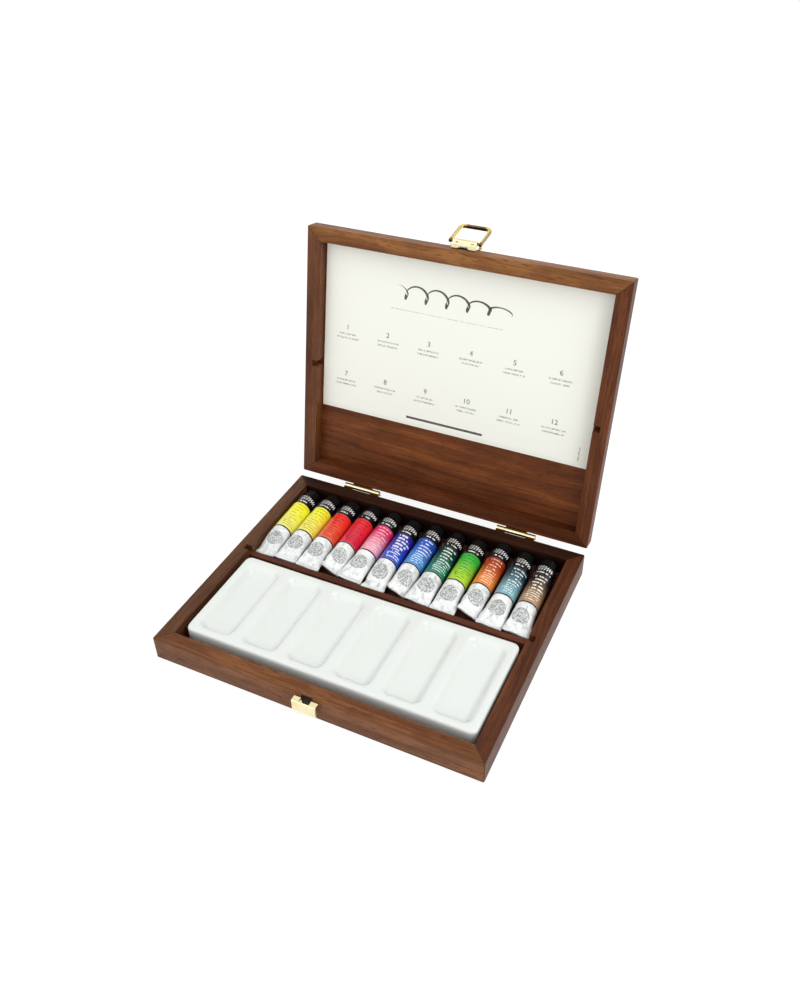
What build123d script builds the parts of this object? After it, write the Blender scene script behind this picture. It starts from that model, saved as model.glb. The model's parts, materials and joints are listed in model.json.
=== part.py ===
from build123d import *
import os
from math import cos, degrees, radians, sin

# Wooden watercolor box, open, with its lid leaning back on two stop hinges.
# Millimetres. The origin is the centre of the base's underside, +Z up, and the front is at -Y.
# The lid, its fittings and the bail are modelled closed and then turned open about the hinge axis.

# Box
BOX_WIDTH = 250.0
BOX_DEPTH = 208.0
BASE_HEIGHT = 19.0
LID_HEIGHT = 12.0
RAIL = 11.0
CORNER_ROUND = 1.2
EDGE_ROUND = 0.5
BOTTOM_PANEL = 4.0
LID_PANEL = 2.0
REBATE = 5.0

# Divider between the tubes and the palette, housed in the two side rails. Its dadoes run on in
# the lid's side rails.
DIVIDER_FRONT = 3.1
DIVIDER_THICKNESS = 5.0
DIVIDER_TOP = 14.3
DADO_DEPTH = 5.0
DADO_PLAY = 0.05

# Printed card in the lid's recess
CARD_LEFT = -112.8
CARD_RIGHT = 112.4
CARD_FRONT = -90.5
CARD_BACK = 43.3
CARD_THICKNESS = 0.4

# Hinges on the outside of the back rails
OPEN_ANGLE = 101.0
HINGE_OFFSET = 3.1
HINGE_X = 68.0
HINGE_LENGTH = 31.8
MIDDLE_KNUCKLE = 17.1
KNUCKLE_GAP = 0.15
BARREL_R = 2.15
HINGE_PIN_R = 1.0
PIN_PLAY = 0.05
LEAF_THICKNESS = 0.9
LEAF_HEIGHT = 10.3
LEAF_TOP_GAP = 0.3
STOP_REACH = 4.5
STOP_THICKNESS = 0.9
STOP_PLAY = 0.1
STOP_OVERLAP = 4.0
HINGE_SCREW_X = 11.0
HINGE_SCREW_BELOW_AXIS = 6.6

# Wood screws
SCREW_HEAD_R = 2.2
SCREW_SHANK_R = 1.1
SCREW_LENGTH = 8.5
SMALL_HEAD_R = 1.7
SMALL_SHANK_R = 0.8
SMALL_LENGTH = 6.5
DRIVE_SLOT = 0.5

# Catch: a folded keeper on the base, and a bracket with a swinging bail on the lid
BRASS_SHEET = 0.8
BEND_R = 0.5
KEEPER_WIDTH = 18.0
KEEPER_REACH = 5.4
KEEPER_TOP = 17.2
KEEPER_LIP = 8.4
KEEPER_FOOT = 1.8
KEEPER_FOOT_WIDTH = 13.0
KEEPER_SCREW_X = 2.9
KEEPER_SCREW_Z = 4.6
KEEPER_SLOT_WIDTH = 7.6
KEEPER_SLOT_FAR = 4.5
KEEPER_SLOT_LOW = 8.5
BRACKET_WIDTH = 18.4
BRACKET_LEDGE = 4.2
BRACKET_FOOT_END = 11.2
BRACKET_REACH = 4.6
BRACKET_SLOT_WIDTH = 7.4
BRACKET_SLOT_FAR = 2.7
BRACKET_SLOT_END = 8.0
CURL_R = 1.75
PIVOT_REACH = 4.9
PIVOT_ABOVE_RIM = 8.6
STOP_TAB_INNER = 9.75
STOP_TAB_OUTER = 12.0
STOP_TAB_ABOVE_RIM = 10.4
STOP_TAB_REACH = 3.95
BRACKET_PIN_X = 6.0
BRACKET_PIN_ABOVE_RIM = 6.3
PIN_HEAD_R = 1.0
PIN_HEAD = 0.5
PIN_SHANK_R = 0.6
PIN_LENGTH = 7.0
ACCESS_R = 1.1
BAIL_WIDTH = 25.2
BAIL_BAR = 2.0
BAIL_THICKNESS = 2.6
BAIL_REACH = 22.4
BAIL_HEEL = 1.3
BAIL_CORNER = 4.5
BAIL_PIN_R = 0.95
BAIL_PLAY = 0.05
BAIL_LEAN = 18.0

# Porcelain palette
PALETTE_WIDTH = 222.5
PALETTE_DEPTH = 83.8
PALETTE_CENTRE = (0.85, -44.3)
PALETTE_TOP = 19.4
PALETTE_CORNER = 5.0
PALETTE_EDGE = 1.8
FOOT_GAP = 0.1
FOOT_RECESS = 1.2
FOOT_RIM = 9.0
WELLS = 6
WELL_WIDTH = 28.2
WELL_PITCH = 36.3
WELL_BACK = -9.0
WELL_FRONT = -80.4
WELL_DRAFT = 35.0
WELL_DEPTH_BACK = 4.5
WELL_DEPTH_FRONT = 6.8
WELL_CORNER = 6.2
WELL_FLOOR_ROUND = 1.2
WELL_RIM_ROUND = 1.5

# Paint tubes. Each lies on the floor along Y, with its cap to the back.
TUBE_R = 8.3
TUBE_PITCH = 18.85
FIRST_TUBE_X = -105.2
TUBE_REST_GAP = 0.15
CAP_LENGTH = 8.0
CAP_FLATS_R = 6.0
CAP_TAPER = 0.35
CAP_CHAMFER = 0.7
CAP_BORE_DEPTH = 6.8
NECK_R = 4.0
NECK_PLAY = 0.05
NECK_END_GAP = 0.4
SHOULDER_START = 8.25
SHOULDER_END = 10.6
SHOULDER_R = 5.0
FLARE_START = 53.0
CRIMP_LENGTH = 3.2
CRIMP_THICKNESS = 1.7
CRIMP_ROUND = 0.5

# One row for each tube: cap end, crimp end, left and right reach of the crimp from the tube's
# axis, its tilt in degrees and its height over the axis. A crimp stays clear of its neighbours'
# crimps seen from above, so that a tube lifts straight out.
TUBES = [
    (89.4, 8.9, 8.4, 9.2, -4, -0.6),
    (91.0, 9.1, 9.2, 9.2, 3, 0.3),
    (90.6, 8.8, 9.2, 10.5, 5, -0.4),
    (92.2, 13.6, 7.8, 7.8, 30, 0.2),
    (91.2, 9.5, 10.5, 9.2, 6, 0.6),
    (88.8, 8.7, 9.2, 10.5, -2, -0.8),
    (90.9, 13.2, 7.8, 7.8, 28, 0.0),
    (89.3, 9.3, 10.5, 9.2, 7, 0.5),
    (88.7, 8.7, 9.2, 10.5, 2, -0.7),
    (92.4, 13.8, 7.8, 7.8, 30, 0.6),
    (89.3, 8.9, 10.5, 9.2, 6, 0.1),
    (88.7, 9.4, 9.2, 11.2, 8, 0.4),
]

HALF_WIDTH = BOX_WIDTH / 2
HALF_DEPTH = BOX_DEPTH / 2
INNER_X = HALF_WIDTH - RAIL
INNER_Y = HALF_DEPTH - RAIL
HINGE_AXIS = (HALF_DEPTH + HINGE_OFFSET, BASE_HEIGHT)
LID_TOP = BASE_HEIGHT + LID_HEIGHT
PIVOT = (-HALF_DEPTH - PIVOT_REACH, BASE_HEIGHT + PIVOT_ABOVE_RIM)
TUBE_AXIS_Z = BOTTOM_PANEL + TUBE_R + TUBE_REST_GAP

nodes = {}


def block(x0, x1, y0, y1, z0, z1):
    """A box from its two corners."""
    centre = Pos((x0 + x1) / 2, (y0 + y1) / 2, (z0 + z1) / 2)
    return centre * Box(x1 - x0, y1 - y0, z1 - z0)


def rod_x(radius, x0, x1, y, z):
    """A round bar along X."""
    return Pos((x0 + x1) / 2, y, z) * Rot(0, 90, 0) * Cylinder(radius, x1 - x0)


def sheet(points, width, bend=BEND_R, thickness=BRASS_SHEET):
    """Folded sheet metal: a strip along a bent path in the YZ plane, centred on X = 0."""
    path = FilletPolyline(*points, radius=bend)
    strip = make_face(offset(path, amount=thickness / 2, side=Side.BOTH).edges())
    return extrude(Plane.YZ.offset(-width / 2) * strip, width)


def swing_open(shape):
    """Turn a piece of the closed lid to the open pose."""
    axis = Axis((0, HINGE_AXIS[0], HINGE_AXIS[1]), (1, 0, 0))
    return shape.rotate(axis, -OPEN_ANGLE)


def frame_ring(low, height, panel_low, panel_high):
    """The four rails in one piece, rounded outside, with the rebate for a panel."""
    body = Pos(0, 0, low) * extrude(RectangleRounded(BOX_WIDTH, BOX_DEPTH, CORNER_ROUND), height)
    outer = body.faces().filter_by(Axis.Z).edges()
    body = fillet(outer, EDGE_ROUND)
    body -= block(-INNER_X, INNER_X, -INNER_Y, INNER_Y, low - 1, low + height + 1)
    reach_x, reach_y = INNER_X + REBATE, INNER_Y + REBATE
    return body - block(-reach_x, reach_x, -reach_y, reach_y, panel_low, panel_high)


def mitred_rails(ring, low, high):
    """Cut the ring along its four mitres."""
    out, run = 10.0, 50.0
    x, y = HALF_WIDTH + out, HALF_DEPTH + out
    corners = {
        "front": [(-x, -y), (x, -y), (x - run, -y + run), (-x + run, -y + run)],
        "back": [(-x, y), (x, y), (x - run, y - run), (-x + run, y - run)],
        "left": [(-x, -y), (-x, y), (-x + run, y - run), (-x + run, -y + run)],
        "right": [(x, -y), (x, y), (x - run, y - run), (x - run, -y + run)],
    }
    rails = {}
    for side, points in corners.items():
        wedge = extrude(make_face(Polyline(*points, close=True)), high - low + 2)
        rails[side] = ring & (Pos(0, 0, low - 1) * wedge)
    return rails


def screw(head_r, shank_r, length):
    """A slotted countersunk wood screw along +Y, its head flush with Y = 0."""
    taper = head_r - shank_r
    outline = Polyline(
        (0, 0), (head_r, 0), (shank_r, taper), (shank_r, length - 2), (0, length), close=True
    )
    body = revolve(make_face(outline), Axis.Y)
    return body - block(-head_r, head_r, -1, DRIVE_SLOT, -DRIVE_SLOT / 2, DRIVE_SLOT / 2)


def radial_lip(radius_in, x0, x1, angle, side):
    """A stop lip standing out of the barrel, with its contact face along the angle given."""
    lip = block(x0, x1, radius_in, STOP_REACH, 0, STOP_THICKNESS)
    if side < 0:
        lip = block(x0, x1, radius_in, STOP_REACH, -STOP_THICKNESS, 0)
    lip = Rot(angle, 0, 0) * lip
    return Pos(0, HINGE_AXIS[0], HINGE_AXIS[1]) * lip


def leaf(x_centre, knuckles, up):
    """One hinge leaf with its knuckles, closed. The base leaf hangs down, the lid leaf stands up."""
    y0 = HALF_DEPTH
    axis_y, axis_z = HINGE_AXIS
    x0, x1 = x_centre - HINGE_LENGTH / 2, x_centre + HINGE_LENGTH / 2
    near = axis_z + up * (BARREL_R + LEAF_TOP_GAP)
    far = axis_z + up * (LEAF_HEIGHT + LEAF_TOP_GAP)
    plate = block(x0, x1, y0, y0 + LEAF_THICKNESS, min(near, far), max(near, far))
    rounded = plate.edges().filter_by(Axis.Y).sort_by(Axis.Z)
    plate = fillet(rounded[-2:] if up > 0 else rounded[:2], 1.5)
    for a, b in knuckles:
        lower, upper = sorted((axis_z, near + up * 0.5))
        plate += block(a, b, y0, axis_y - HINGE_PIN_R, lower, upper)
        plate += rod_x(BARREL_R, a, b, axis_y, axis_z)
    for a, b in knuckles:
        plate -= rod_x(HINGE_PIN_R + PIN_PLAY, a - 1, b + 1, axis_y, axis_z)
    return plate


def hinge(x_centre):
    """Base leaf, lid leaf and pin of one stop hinge, closed."""
    half = MIDDLE_KNUCKLE / 2
    end = HINGE_LENGTH / 2
    outer = [
        (x_centre - end, x_centre - half - KNUCKLE_GAP),
        (x_centre + half + KNUCKLE_GAP, x_centre + end),
    ]
    middle = [(x_centre - half, x_centre + half)]
    half_open = OPEN_ANGLE / 2
    base_leaf = leaf(x_centre, outer, -1)
    play = degrees(STOP_PLAY / STOP_REACH)
    for a, b in outer:
        base_leaf += radial_lip(BARREL_R - 0.3, a, b, -half_open - play, -1)
    lid_leaf = leaf(x_centre, middle, 1)
    lid_leaf += radial_lip(BARREL_R - 0.3, *middle[0], half_open, 1)
    reach = half + STOP_OVERLAP
    lid_leaf += radial_lip(BARREL_R + 0.4, x_centre - reach, x_centre + reach, half_open, 1)
    pin = rod_x(HINGE_PIN_R, x_centre - end, x_centre + end, *HINGE_AXIS)
    return base_leaf, lid_leaf, pin


def keeper():
    """The folded keeper: a foot on the wood, a ledge and a lip that the bail tucks under."""
    t = BRASS_SHEET / 2
    y = -HALF_DEPTH
    points = [
        (y - t, KEEPER_FOOT),
        (y - t, KEEPER_TOP - t),
        (y - KEEPER_REACH + t, KEEPER_TOP - t),
        (y - KEEPER_REACH + t, KEEPER_LIP),
    ]
    body = sheet(points, KEEPER_WIDTH)
    foot_cut = y - BRASS_SHEET
    for sign in (-1, 1):
        x0, x1 = sorted((sign * KEEPER_FOOT_WIDTH / 2, sign * KEEPER_WIDTH))
        body -= block(x0, x1, foot_cut, y + 1, KEEPER_FOOT - 1, KEEPER_TOP - 2 * BEND_R)
    half = KEEPER_SLOT_WIDTH / 2
    return body - block(-half, half, y - KEEPER_SLOT_FAR, y + 1, KEEPER_SLOT_LOW, KEEPER_TOP + 1)


def bracket():
    """The lid's bracket, closed: a foot on the wood, a slotted ledge, a front and a curl."""
    t = BRASS_SHEET / 2
    y, rim = -HALF_DEPTH, BASE_HEIGHT
    front = y - BRACKET_REACH + t
    points = [
        (y - t, rim + BRACKET_FOOT_END),
        (y - t, rim + BRACKET_LEDGE + t),
        (front, rim + BRACKET_LEDGE + t),
        (front, PIVOT[1] - CURL_R / 2),
    ]
    body = sheet(points, BRACKET_WIDTH)
    half = BRACKET_WIDTH / 2
    body += rod_x(CURL_R, -half, half, *PIVOT)
    body -= rod_x(BAIL_PIN_R + BAIL_PLAY, -half - 1, half + 1, *PIVOT)
    slot_half = BRACKET_SLOT_WIDTH / 2
    ledge = rim + BRACKET_LEDGE
    body -= block(
        -slot_half, slot_half, y - BRACKET_SLOT_FAR, y + 1, ledge - 1, rim + BRACKET_SLOT_END
    )
    tab_z = rim + STOP_TAB_ABOVE_RIM
    for sign in (-1, 1):
        x0, x1 = sorted((sign * (half - 1), sign * STOP_TAB_OUTER))
        body += block(x0, x1, y - BRASS_SHEET, y, tab_z - 1, tab_z + BRASS_SHEET)
        x0, x1 = sorted((sign * STOP_TAB_INNER, sign * STOP_TAB_OUTER))
        body += block(x0, x1, y - STOP_TAB_REACH, y, tab_z, tab_z + BRASS_SHEET)
        access = Pos(sign * BRACKET_PIN_X, front, rim + BRACKET_PIN_ABOVE_RIM) * Rot(90, 0, 0)
        body -= access * Cylinder(ACCESS_R, 2)
    return body


def bail():
    """The swinging bail, laid back at its rest angle on the closed lid."""
    inner = BAIL_WIDTH / 2 - BAIL_BAR
    length = BAIL_REACH + BAIL_HEEL
    outline = RectangleRounded(BAIL_WIDTH, length, BAIL_CORNER)
    heel = Pos(0, -length / 2 + BAIL_CORNER / 2) * Rectangle(BAIL_WIDTH, BAIL_CORNER)
    run = length - BAIL_BAR + BAIL_CORNER
    window = Pos(0, length / 2 - BAIL_BAR - run / 2) * RectangleRounded(
        2 * inner, run, BAIL_CORNER - BAIL_BAR
    )
    flat = Pos(0, (BAIL_REACH - BAIL_HEEL) / 2) * (outline + heel - window)
    loop = Pos(0, 0, -BAIL_THICKNESS / 2) * extrude(flat, BAIL_THICKNESS)
    loop = fillet(loop.faces().filter_by(Axis.Z).edges(), 0.4)
    loop += rod_x(BAIL_PIN_R, -inner - 1, inner + 1, 0, 0)
    # the loop's own +Y turns to point up the closed lid's face, leaning out by the rest angle
    return Pos(0, *PIVOT) * Rot(90 + BAIL_LEAN, 0, 0) * loop


def well():
    """The hollow of one well, centred on the palette's top at Z = 0: drafted walls, slanted floor."""
    run = WELL_BACK - WELL_FRONT
    half = run / 2
    deep = WELL_DEPTH_FRONT + 1
    hollow = extrude(RectangleRounded(WELL_WIDTH, run, WELL_CORNER), -deep, taper=WELL_DRAFT)
    slant = make_face(Polyline(
        (-half, -WELL_DEPTH_FRONT), (half, -WELL_DEPTH_BACK), (half, 1), (-half, 1), close=True
    ))
    hollow &= extrude(Plane.YZ.offset(-WELL_WIDTH / 2) * slant, WELL_WIDTH)
    return fillet(hollow.faces().sort_by(Axis.Z)[0].edges(), WELL_FLOOR_ROUND)


def palette():
    """The porcelain palette: a rounded slab with six wells and a shallow foot recess."""
    bottom = BOTTOM_PANEL + FOOT_GAP
    slab = extrude(RectangleRounded(PALETTE_WIDTH, PALETTE_DEPTH, PALETTE_CORNER), PALETTE_TOP - bottom)
    slab = fillet(slab.faces().sort_by(Axis.Z)[-1].edges(), PALETTE_EDGE)
    slab = fillet(slab.faces().sort_by(Axis.Z)[0].edges(), 0.6)
    slab -= extrude(
        RectangleRounded(PALETTE_WIDTH - 2 * FOOT_RIM, PALETTE_DEPTH - 2 * FOOT_RIM, PALETTE_CORNER),
        FOOT_RECESS,
    )
    slab = Pos(PALETTE_CENTRE[0], PALETTE_CENTRE[1], bottom) * slab
    hollow = well()
    middle_y = (WELL_BACK + WELL_FRONT) / 2
    first = PALETTE_CENTRE[0] - WELL_PITCH * (WELLS - 1) / 2
    for i in range(WELLS):
        slab -= Pos(first + i * WELL_PITCH, middle_y, PALETTE_TOP) * hollow
    rims = [e for e in slab.faces().filter_by(Axis.Z).sort_by(Axis.Z)[-1].inner_wires()]
    edges = ShapeList(e for wire in rims for e in wire.edges())
    return fillet(edges, WELL_RIM_ROUND)


def tube(cap_end, crimp_end, left, right, tilt, lift):
    """One paint tube along Y, its cap end at high Y and its axis on X = 0, without the cap."""
    length = cap_end - crimp_end
    loft_end = length - CRIMP_LENGTH

    def station(distance):
        return cap_end - distance

    neck_end = CAP_LENGTH - CAP_BORE_DEPTH + NECK_END_GAP
    outline = Polyline(
        (0, station(neck_end)),
        (NECK_R, station(neck_end)),
        (NECK_R, station(SHOULDER_START)),
        (SHOULDER_R, station(SHOULDER_START)),
        (TUBE_R, station(SHOULDER_END)),
        (TUBE_R, station(FLARE_START)),
        (0, station(FLARE_START)),
        close=True,
    )
    body = revolve(make_face(outline), Axis.Y)
    half = (left + right) / 2 / cos(radians(tilt)) - CRIMP_THICKNESS / 2 * abs(sin(radians(tilt)))
    offset_x = (right - left) / 2
    flat = CRIMP_THICKNESS / 2 * 0.8
    sections = []
    for share in (0.0, 0.3, 0.65, 1.0):
        distance = FLARE_START + share * (loft_end - FLARE_START)
        ease = share * share * (3 - 2 * share)
        wide = TUBE_R + (half - TUBE_R) * ease
        thick = TUBE_R + (flat - TUBE_R) * (0.35 * share + 0.65 * share * share)
        plane = Plane(
            origin=(offset_x * ease, station(distance), lift * ease),
            x_dir=(cos(radians(tilt * ease)), 0, -sin(radians(tilt * ease))),
            z_dir=(0, -1, 0),
        )
        sections.append(plane * Ellipse(wide, max(thick, flat)))
    body += loft(sections)
    fold = Box(2 * half, CRIMP_LENGTH + 0.2, CRIMP_THICKNESS)
    fold = fillet(fold.edges().filter_by(Axis.Y), CRIMP_ROUND)
    middle = crimp_end + (CRIMP_LENGTH + 0.2) / 2
    body += Pos(offset_x, middle, lift) * Rot(0, tilt, 0) * fold
    return body


def cap(cap_end):
    """An eight-sided tapered screw cap with its bore, on the axis X = 0."""
    mouth = RegularPolygon(CAP_FLATS_R + CAP_TAPER, 8, major_radius=False, rotation=22.5)
    top = RegularPolygon(CAP_FLATS_R, 8, major_radius=False, rotation=22.5)
    body = loft([mouth, Pos(0, 0, CAP_LENGTH) * top])
    body = chamfer(body.faces().sort_by(Axis.Z)[-1].edges(), CAP_CHAMFER)
    body -= extrude(Circle(NECK_R + NECK_PLAY), CAP_BORE_DEPTH)
    return Pos(0, cap_end - CAP_LENGTH, 0) * Rot(-90, 0, 0) * body


def dado(low, high):
    """The cut for the divider across both side rails."""
    end = INNER_X + DADO_DEPTH
    front = DIVIDER_FRONT - DADO_PLAY
    back = DIVIDER_FRONT + DIVIDER_THICKNESS + DADO_PLAY
    return block(-end, end, front, back, low, high)


def build_base():
    """The base frame, its floor and the divider."""
    ring = frame_ring(0, BASE_HEIGHT, -1, BOTTOM_PANEL)
    ring -= dado(BOTTOM_PANEL, BASE_HEIGHT + 1)
    rails = mitred_rails(ring, 0, BASE_HEIGHT)
    reach_x, reach_y = INNER_X + REBATE, INNER_Y + REBATE
    nodes["base_bottom_panel"] = block(-reach_x, reach_x, -reach_y, reach_y, 0, BOTTOM_PANEL)
    end = INNER_X + DADO_DEPTH
    back = DIVIDER_FRONT + DIVIDER_THICKNESS
    bar = block(-end, end, DIVIDER_FRONT, back, BOTTOM_PANEL, DIVIDER_TOP)
    top = bar.faces().sort_by(Axis.Z)[-1].edges().filter_by(Axis.X)
    nodes["compartment_divider"] = fillet(top, 0.6)
    return rails


def build_lid():
    """The lid's frame, panel and card, closed."""
    ring = frame_ring(BASE_HEIGHT, LID_HEIGHT, LID_TOP - LID_PANEL, LID_TOP + 1)
    ring -= dado(BASE_HEIGHT - 1, LID_TOP - LID_PANEL)
    rails = mitred_rails(ring, BASE_HEIGHT, LID_TOP)
    reach_x, reach_y = INNER_X + REBATE, INNER_Y + REBATE
    panel = block(-reach_x, reach_x, -reach_y, reach_y, LID_TOP - LID_PANEL, LID_TOP)
    inner = LID_TOP - LID_PANEL
    card = block(CARD_LEFT, CARD_RIGHT, CARD_FRONT, CARD_BACK, inner - CARD_THICKNESS, inner)
    return rails, panel, card


def build_hinges(base_rails, lid_rails):
    """Two hinges and their screws. Returns the lid's leaves and screws, still closed."""
    lid_leaves = {}
    base_screws, lid_screws = [], []
    outside = HALF_DEPTH + LEAF_THICKNESS
    for side, x_centre in (("left", -HINGE_X), ("right", HINGE_X)):
        base_leaf, lid_leaf, pin = hinge(x_centre)
        for dx in (-HINGE_SCREW_X, HINGE_SCREW_X):
            one = Rot(0, 0, 180) * screw(SCREW_HEAD_R, SCREW_SHANK_R, SCREW_LENGTH)
            low = Pos(x_centre + dx, outside, BASE_HEIGHT - HINGE_SCREW_BELOW_AXIS) * one
            high = Pos(x_centre + dx, outside, BASE_HEIGHT + HINGE_SCREW_BELOW_AXIS) * one
            base_leaf -= screw_space(low)
            lid_leaf -= screw_space(high)
            base_rails["back"] -= screw_space(low)
            lid_rails["back"] -= screw_space(high)
            base_screws.append(low)
            lid_screws.append(high)
        nodes[f"hinge_base_leaf_{side}"] = base_leaf
        nodes[f"hinge_pin_{side}"] = pin
        lid_leaves[side] = lid_leaf
    nodes["hinge_base_screws"] = Compound(children=solids_of(base_screws))
    return lid_leaves, lid_screws


def screw_space(one):
    """The room that a screw takes, with its drive slot filled."""
    box = one.bounding_box()
    middle_x = (box.min.X + box.max.X) / 2
    middle_z = (box.min.Z + box.max.Z) / 2
    y0 = box.min.Y if abs(box.min.Y) > abs(box.max.Y) else box.max.Y - DRIVE_SLOT
    return one + block(
        middle_x - SCREW_SHANK_R, middle_x + SCREW_SHANK_R, y0, y0 + DRIVE_SLOT,
        middle_z - DRIVE_SLOT / 2, middle_z + DRIVE_SLOT / 2,
    )


def solids_of(shapes):
    """The separate solids of several shapes, as a list."""
    return [s for shape in shapes for s in shape.solids()]


def build_catch(base_rails, lid_rails):
    """The keeper and its screws on the base. Returns the lid's bracket, pins and bail, closed."""
    plate = keeper()
    front = -HALF_DEPTH - BRASS_SHEET
    screws = []
    for x in (-KEEPER_SCREW_X, KEEPER_SCREW_X):
        one = Pos(x, front, KEEPER_SCREW_Z) * screw(SMALL_HEAD_R, SMALL_SHANK_R, SMALL_LENGTH)
        plate -= one
        base_rails["front"] -= one
        screws.append(one)
    nodes["catch_keeper"] = plate
    nodes["catch_keeper_screws"] = Compound(children=solids_of(screws))
    holder = bracket()
    pins = []
    for x in (-BRACKET_PIN_X, BRACKET_PIN_X):
        seat = Pos(x, front, BASE_HEIGHT + BRACKET_PIN_ABOVE_RIM) * Rot(90, 0, 0)
        shank = seat * Pos(0, 0, -PIN_LENGTH / 2) * Cylinder(PIN_SHANK_R, PIN_LENGTH)
        head = seat * Pos(0, 0, PIN_HEAD / 2) * Cylinder(PIN_HEAD_R, PIN_HEAD)
        holder -= shank
        lid_rails["front"] -= shank
        pins.append(shank + head)
    return holder, pins, bail()


def build_contents():
    """The palette, the tubes and their caps."""
    nodes["palette"] = palette()
    for number, row in enumerate(TUBES, start=1):
        place = Pos(FIRST_TUBE_X + (number - 1) * TUBE_PITCH, 0, TUBE_AXIS_Z)
        nodes[f"tube_{number:02d}"] = place * tube(*row)
        nodes[f"cap_{number:02d}"] = place * cap(row[0])


def main():
    base_rails = build_base()
    lid_rails, panel, card = build_lid()
    lid_leaves, lid_screws = build_hinges(base_rails, lid_rails)
    holder, pins, loop = build_catch(base_rails, lid_rails)
    build_contents()
    for side, rail in base_rails.items():
        nodes[f"base_{side}_rail"] = rail
    for side, rail in lid_rails.items():
        nodes[f"lid_{side}_rail"] = swing_open(rail)
    nodes["lid_panel"] = swing_open(panel)
    nodes["lid_card"] = swing_open(card)
    for side, plate in lid_leaves.items():
        nodes[f"hinge_lid_leaf_{side}"] = swing_open(plate)
    nodes["hinge_lid_screws"] = Compound(children=[swing_open(s) for s in solids_of(lid_screws)])
    nodes["catch_bracket"] = swing_open(holder)
    nodes["catch_bracket_pins"] = Compound(children=[swing_open(s) for s in solids_of(pins)])
    nodes["catch_bail"] = swing_open(loop)
    os.makedirs("parts", exist_ok=True)
    for name, shape in nodes.items():
        export_step(shape, f"parts/{name}.step")


main()
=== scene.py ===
import json
from math import atan2, cos, pi, radians, sin

import bmesh
import bpy
from mathutils import Euler, Matrix, Vector, noise


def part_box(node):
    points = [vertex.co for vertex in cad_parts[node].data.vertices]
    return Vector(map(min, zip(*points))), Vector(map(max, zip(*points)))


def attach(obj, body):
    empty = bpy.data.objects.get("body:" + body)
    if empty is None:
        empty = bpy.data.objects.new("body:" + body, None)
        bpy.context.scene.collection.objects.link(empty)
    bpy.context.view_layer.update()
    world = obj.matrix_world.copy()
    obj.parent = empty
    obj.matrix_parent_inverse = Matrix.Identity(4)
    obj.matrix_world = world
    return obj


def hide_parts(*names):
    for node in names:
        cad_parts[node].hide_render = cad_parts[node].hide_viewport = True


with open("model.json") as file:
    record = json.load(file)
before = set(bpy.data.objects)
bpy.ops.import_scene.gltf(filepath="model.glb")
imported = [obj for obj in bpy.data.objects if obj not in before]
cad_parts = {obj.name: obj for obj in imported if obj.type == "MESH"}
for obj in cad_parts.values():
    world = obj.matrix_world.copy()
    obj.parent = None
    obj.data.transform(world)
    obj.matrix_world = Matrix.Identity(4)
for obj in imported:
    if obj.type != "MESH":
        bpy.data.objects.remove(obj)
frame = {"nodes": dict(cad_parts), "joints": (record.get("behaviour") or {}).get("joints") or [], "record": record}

bl_info = {
    "name": "Wooden Watercolor Box",
    "version": (1, 0, 0),
    "blender": (4, 5, 0),
    "location": "View3D > Sidebar > Paint Box",
    "description": "Finishes, paint tubes, printed card and stage of a wooden watercolor box",
    "category": "Object",
}

MM = 0.001
NODES = frame["nodes"]
HINGE = Vector(next(j["pos_m"] for j in frame["joints"] if j["name"] == "lid_hinge"))
LID_ANGLE = radians(101)
TO_OPEN = (
    Matrix.Translation(HINGE) @ Matrix.Rotation(-LID_ANGLE, 4, "X") @ Matrix.Translation(-HINGE)
)
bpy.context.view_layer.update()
NODE_BODY = {
    node: body for body, nodes in frame["record"]["behaviour"]["bodies"].items() for node in nodes
}

# Half of the box's width less half of its depth: the mitres' seams lie where |x| - |y| is this
MITRE_OFFSET = 21 * MM

# Half widths of the painted shade seen through the keeper's slot and in the bracket's notch
KEEPER_SLOT_SHADE = 4.3 * MM
BRACKET_NOTCH_SHADE = 4.6 * MM

# Where the painted highlight on a hinge's knuckle ends, and where the bail's bar, sides and foot get a painted
# reflection of the dark of the room
KNUCKLE_HIGHLIGHT_REACH = (2.3 * MM, 2.5 * MM)
BAIL_BAR_X = (-7.6 * MM, 7.8 * MM)
BAIL_BAR_Y = (175.6 * MM, 176.8 * MM)
BAIL_SIDE_X = (11.6 * MM, 12.4 * MM)
BAIL_SIDE_Y = (174 * MM, 178 * MM)
BAIL_FOOT_Y = (156.8 * MM, 158.6 * MM)

# The card in the shut box, in millimetres: heights of its face and of the ink over it, then the
# columns of numbers, each row's number and two lines, the lines' lengths, and the plain rules as
# middle, length, width and ink (0 black, 1 grey)
CARD_FACE = 28.6
INK_LIFT = 0.02
CARD_COLUMNS = (-92.3, -57.2, -22.3, 12.5, 47.3, 83.0)
CARD_ROWS = ((-27.0, (-21.5, -18.2)), (12.0, (17.5, 20.8)))
LINE_LENGTHS = (15.0, 19.0, 17.0, 18.5, 14.0, 18.0)
CARD_RULES = (
    (-10.0, -50.0, 92.0, 0.45, 1), (-4.5, 36.5, 65.0, 1.9, 0), (105.0, 33.0, 1.2, 12.0, 1),
)
BRUSH_LOOPS = 5.5

# A tube's neck and shoulder, as distance from its cap end and radius in millimetres, where the
# shoulder ends, where the body starts to flatten, and how thick the crimp is
NECK = [(1.6, 4.0), (8.24, 4.0), (8.26, 5.0), (8.7, 5.35), (9.6, 7.1), (10.2, 8.0)]
SHOULDER_END = 10.7
FLARE = 53
CRIMP_THICK = 1.7

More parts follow.
